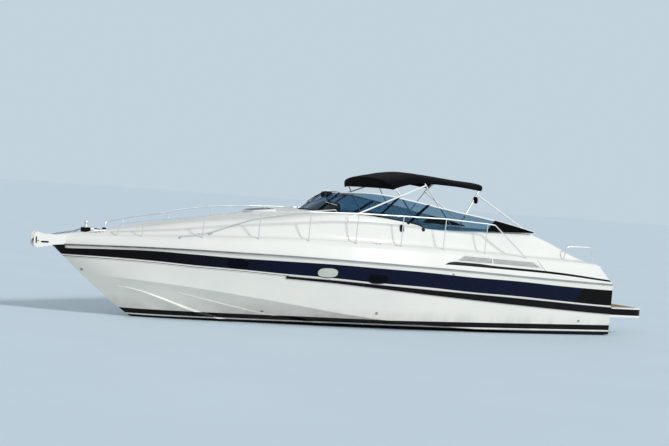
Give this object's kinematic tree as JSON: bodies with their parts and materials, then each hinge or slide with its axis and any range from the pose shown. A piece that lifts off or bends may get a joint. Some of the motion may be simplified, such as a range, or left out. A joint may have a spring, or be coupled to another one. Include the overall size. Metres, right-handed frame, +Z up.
{
  "type": "speedboat",
  "caption": "Open sports cruiser afloat, with tinted wraparound screen, bimini top, side rails, swim platform, turning propellers and rudders, opening hatches, door and gate.",
  "frame": {"origin": "on the centreline at the water, midway between stem head and transom", "axes": "+X to the bow, +Y to port, +Z up"},
  "size_m": [13.667, 3.8002, 4.2385],
  "materials": {
    "hull_gelcoat": "gloss white gelcoat with navy and black bands",
    "deck_gelcoat": "gloss white gelcoat",
    "intake_plastic": "pale grey moulded plastic",
    "rail_rubber": "black rubber insert",
    "stainless": "polished stainless steel",
    "tinted_glass": "tinted toughened glass",
    "white_enamel": "gloss white enamel",
    "black_enamel": "gloss black enamel",
    "black_plastic": "satin black moulding",
    "canopy_cloth": "woven acrylic canvas, near black",
    "bronze": "cast bronze",
    "engine_iron": "painted casting",
    "smoked_acrylic": "smoked acrylic",
    "upholstery": "cream marine vinyl"
  },
  "bodies": {
    "root": {"hull": "hull_gelcoat", "deck_moulding": "deck_gelcoat", "cockpit_liner": "deck_gelcoat", "air_intake_port": "intake_plastic", "air_intake_starboard": "intake_plastic", "rubbing_strakes": "hull_gelcoat", "joint_rails": "rail_rubber", "spray_rails": "hull_gelcoat", "swim_platform": "deck_gelcoat", "bow_platform": "deck_gelcoat", "bow_roller": "stainless", "windlass_base": "stainless", "cleats": "stainless", "side_rail_port": "stainless", "side_rail_starboard": "stainless", "coach_roof_grab_rails": "stainless", "stern_rails": "stainless", "windscreen_glass": "tinted_glass", "windscreen_rail": "white_enamel", "windscreen_mullions": "black_enamel", "dashboard": "black_plastic", "bimini_front_bow": "stainless", "bimini_main_bow": "stainless", "bimini_aft_bow": "stainless", "bimini_struts": "white_enamel", "canopy": "canopy_cloth", "shaft_brackets": "bronze", "stern_tubes": "bronze", "rudder_ports": "bronze", "engines": "engine_iron", "door_track": "stainless", "helm_console": "deck_gelcoat", "helm_seat_base": "white_enamel", "helm_seat_cushion": "upholstery", "cockpit_benches": "deck_gelcoat", "bench_cushions": "upholstery", "gate_hinge": "stainless", "foredeck_hatch_frame": "black_enamel"},
    "propeller_port": {"propeller_port": "bronze"},
    "propeller_starboard": {"propeller_starboard": "bronze"},
    "rudder_port": {"rudder_port": "bronze"},
    "rudder_starboard": {"rudder_starboard": "bronze"},
    "steering_wheel": {"steering_wheel": "black_plastic"},
    "windlass_capstan": {"windlass_capstan": "stainless"},
    "foredeck_hatch_lid": {"foredeck_hatch_lid": "smoked_acrylic"},
    "companionway_door": {"companionway_door": "smoked_acrylic"},
    "sunpad_lid": {"sunpad_lid": "deck_gelcoat", "sunpad_cushion": "upholstery"},
    "transom_gate": {"transom_gate": "deck_gelcoat"}
  },
  "joints": [
    {"name": "propeller_port_spin", "type": "hinge", "parent": "root", "child": "propeller_port", "pos_m": [-5.15, 0.56, -0.68], "axis": [0.9903, 0, 0.1392], "continuous": true},
    {"name": "propeller_starboard_spin", "type": "hinge", "parent": "root", "child": "propeller_starboard", "pos_m": [-5.15, -0.56, -0.68], "axis": [0.9903, 0, 0.1392], "continuous": true},
    {"name": "rudder_port_turn", "type": "hinge", "parent": "root", "child": "rudder_port", "pos_m": [-5.76, 0.56, -0.42], "axis": [0, 0, 1], "range_deg": [-35, 35]},
    {"name": "rudder_starboard_turn", "type": "hinge", "parent": "root", "child": "rudder_starboard", "pos_m": [-5.76, -0.56, -0.42], "axis": [0, 0, 1], "range_deg": [-35, 35]},
    {"name": "steering_wheel_turn", "type": "hinge", "parent": "root", "child": "steering_wheel", "pos_m": [-0.66333, -0.62, 1.939], "axis": [-0.6531, 0, 0.7572], "range_deg": [-541, 541]},
    {"name": "windlass_turn", "type": "hinge", "parent": "root", "child": "windlass_capstan", "pos_m": [5.45, 0, 1.718], "axis": [0, 0, 1], "continuous": true},
    {"name": "foredeck_hatch_swing", "type": "hinge", "parent": "root", "child": "foredeck_hatch_lid", "pos_m": [2.08117, 0, 2.24085], "axis": [0, 1, 0], "range_deg": [0, 85]},
    {"name": "companionway_slide", "type": "slide", "parent": "root", "child": "companionway_door", "axis": [0, 1, 0], "range_m": [0, 0.47]},
    {"name": "sunpad_lift", "type": "hinge", "parent": "root", "child": "sunpad_lid", "pos_m": [-5.394, 0, 1.7], "axis": [0, -1, 0], "range_deg": [0, 45]},
    {"name": "transom_gate_swing", "type": "hinge", "parent": "root", "child": "transom_gate", "pos_m": [-5.765, -1.105, 1.25], "axis": [0, 0, 1], "range_deg": [0, 90]}
  ],
  "couplings": [
    {"joint": "rudder_starboard_turn", "follows": "rudder_port_turn", "ratio": 1},
    {"joint": "steering_wheel_turn", "follows": "rudder_port_turn", "ratio": 15.43}
  ]
}
